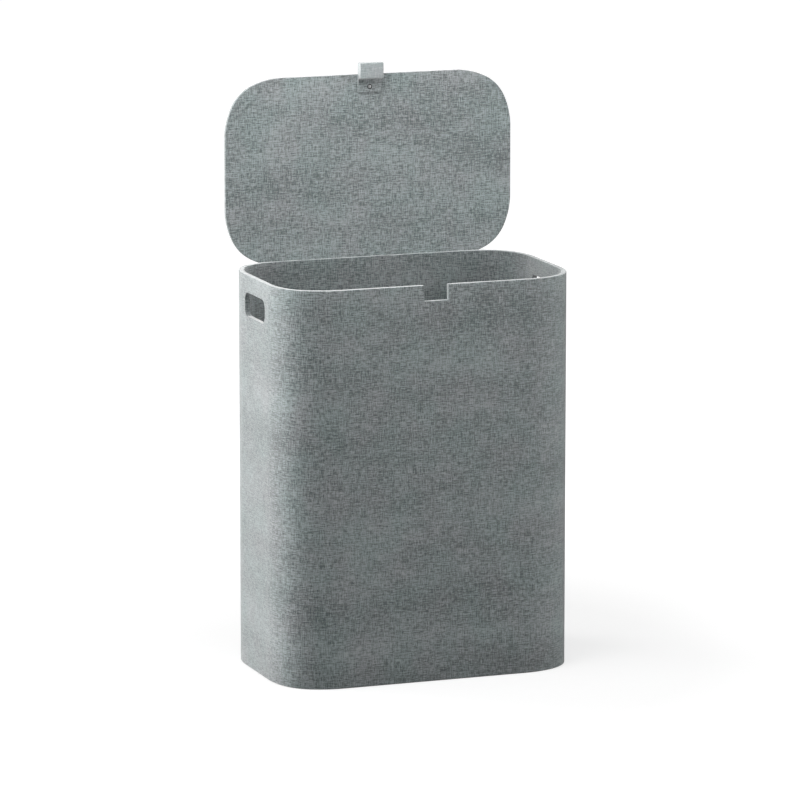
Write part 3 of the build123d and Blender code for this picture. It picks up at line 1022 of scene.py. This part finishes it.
foot_gap = half_width - foot_high.x
foot_rows = [(50, 0.2), (12.6, 0.2), (12, 0), (0.5, 0), (0.15, 0.12), (0, 0.4), (0.15, 0.68), (0.5, 0.8)]
foot_cloth = cloth_plate("foot_cloth", foot_gap, foot_low.z, foot_rows, under_cloth)
shade_by_angle(foot_cloth)
dress(foot_cloth, "hamper", ["dust_cover"], "dust_cloth")

# %% [markdown]
# ## Finishes for the pieces that keep their own shape
# Boards, hinges, pins, brads and screws are already right, so they only get their finish. The record
# names a material slot for every node, and each slot has one finish here.

# %% Dress the carried-over pieces
finish_of = {
    "linen_cloth": grey_linen,
    "dust_cloth": under_cloth,
    "fibreboard": board,
    "plated_steel": plated_steel,
    "blackened_steel": black_steel,
}
for entry in frame["record"]["subparts"]:
    node = frame["nodes"][entry["node"]]
    node.data.materials.clear()
    node.data.materials.append(finish_of[entry["material_slot"]])

# %% [markdown]
# ## Floor and studio light
# A pale floor runs far back and then curves up like a photographer's paper roll, so no horizon shows
# from any side. Large soft lights on the left make the left side almost white, a narrow one above
# the front brightens the upper half, and two weaker ones on the right keep the shaded corner open.
# The floor glows by itself, more so far away, so it stays white where the lights no longer reach.


# %% Set the stage
def pale_floor():
    finish = Finish("pale_floor")
    place = position(finish)
    reach = finish.node("ShaderNodeVectorMath", {"operation": "LENGTH"}, {0: place}, 1)
    away = finish.node("ShaderNodeClamp", {}, {0: (reach - 0.45) / 0.9})
    grain = solid_noise(finish, place, 60)
    colour = finish.mix(grain, (0.26, 0.26, 0.26, 1), (0.27, 0.27, 0.27, 1))
    glow = finish.mix(away, (0.7, 0.7, 0.7, 1), (1, 1, 1, 1))
    return finish.surface({
        "Base Color": colour,
        "Roughness": 0.9,
        "Specular IOR Level": 0.1,
        "Emission Color": glow,
        "Emission Strength": 1.0,
    })


floor_mesh = bpy.data.meshes.new("studio_floor")
rings, spokes, flat_reach, bend_radius = 12, 48, 25.0, 18.0
below_foot = -0.3 * mm
floor_points = [(0.0, 0.0, below_foot)]
for i in range(rings + 1):
    lean = math.pi / 2 * i / rings
    reach = flat_reach + bend_radius * math.sin(lean)
    height = below_foot + bend_radius * (1 - math.cos(lean))
    for k in range(spokes):
        turned = math.tau * k / spokes
        floor_points.append((reach * math.cos(turned), reach * math.sin(turned), height))
floor_faces = [(0, 1 + k, 1 + (k + 1) % spokes) for k in range(spokes)]
for i in range(rings):
    for k in range(spokes):
        here, ahead = 1 + i * spokes + k, 1 + i * spokes + (k + 1) % spokes
        floor_faces.append((here, here + spokes, ahead + spokes, ahead))
floor_mesh.from_pydata(floor_points, [], floor_faces)
floor_mesh.materials.append(pale_floor())
studio_floor = bpy.data.objects.new("studio_floor", floor_mesh)
bpy.context.scene.collection.objects.link(studio_floor)
studio_floor.visible_diffuse = False


def soft_light(name, place, target, width, height, watts):
    light = bpy.data.lights.new(name, "AREA")
    light.shape = "RECTANGLE"
    light.size = width
    light.size_y = height
    light.energy = watts
    lamp = bpy.data.objects.new(name, light)
    lamp.location = place
    lamp.rotation_euler = (Vector(target) - Vector(place)).to_track_quat("-Z", "Y").to_euler()
    lamp.visible_camera = False
    bpy.context.scene.collection.objects.link(lamp)


soft_light("rear_left_softbox", (-2.0, 1.8, 1.0), (0, 0, 0.5), 1.4, 1.4, 72)
soft_light("left_softbox", (-2.6, 0.9, 0.9), (0, 0, 0.5), 1.8, 1.4, 36)
soft_light("left_front_softbox", (-2.2, -1.6, 1.2), (0, 0, 0.5), 1.6, 1.6, 45)
soft_light("left_high_softbox", (-2.2, 0.0, 2.0), (0, 0, 0.5), 2.0, 1.4, 6)
soft_light("top_strip", (-0.3, -0.3, 1.6), (0, 0, 0.8), 0.8, 0.3, 10)
soft_light("right_softbox", (2.2, -0.8, 0.9), (0, 0, 0.5), 1.4, 1.4, 27)
soft_light("right_high_softbox", (1.6, -0.9, 1.4), (0, 0, 0.6), 1.0, 1.0, 17)

world = bpy.data.worlds.new("studio")
world.use_nodes = True
world.node_tree.nodes["Background"].inputs["Color"].default_value = (1, 1, 1, 1)
world.node_tree.nodes["Background"].inputs["Strength"].default_value = 0.01
bpy.context.scene.world = world
bpy.context.scene.view_settings.view_transform = "Standard"

# %% [markdown]
# ## The camera
# A long lens from the left and a little above keeps the upright edges almost parallel, as in a
# catalogue picture.

# %% Place the camera
camera = bpy.data.cameras.new("camera")
camera.sensor_width = 36
camera.lens = 253.463
camera.clip_end = 200
viewer = bpy.data.objects.new("camera", camera)
viewer.location = (-2.8882, -7.8146, 1.9714)
yaw, pitch = math.radians(20.2588), math.radians(10.6703)
viewer.rotation_euler = (math.pi / 2 - pitch, 0, -yaw)
bpy.context.scene.collection.objects.link(viewer)
bpy.context.scene.camera = viewer
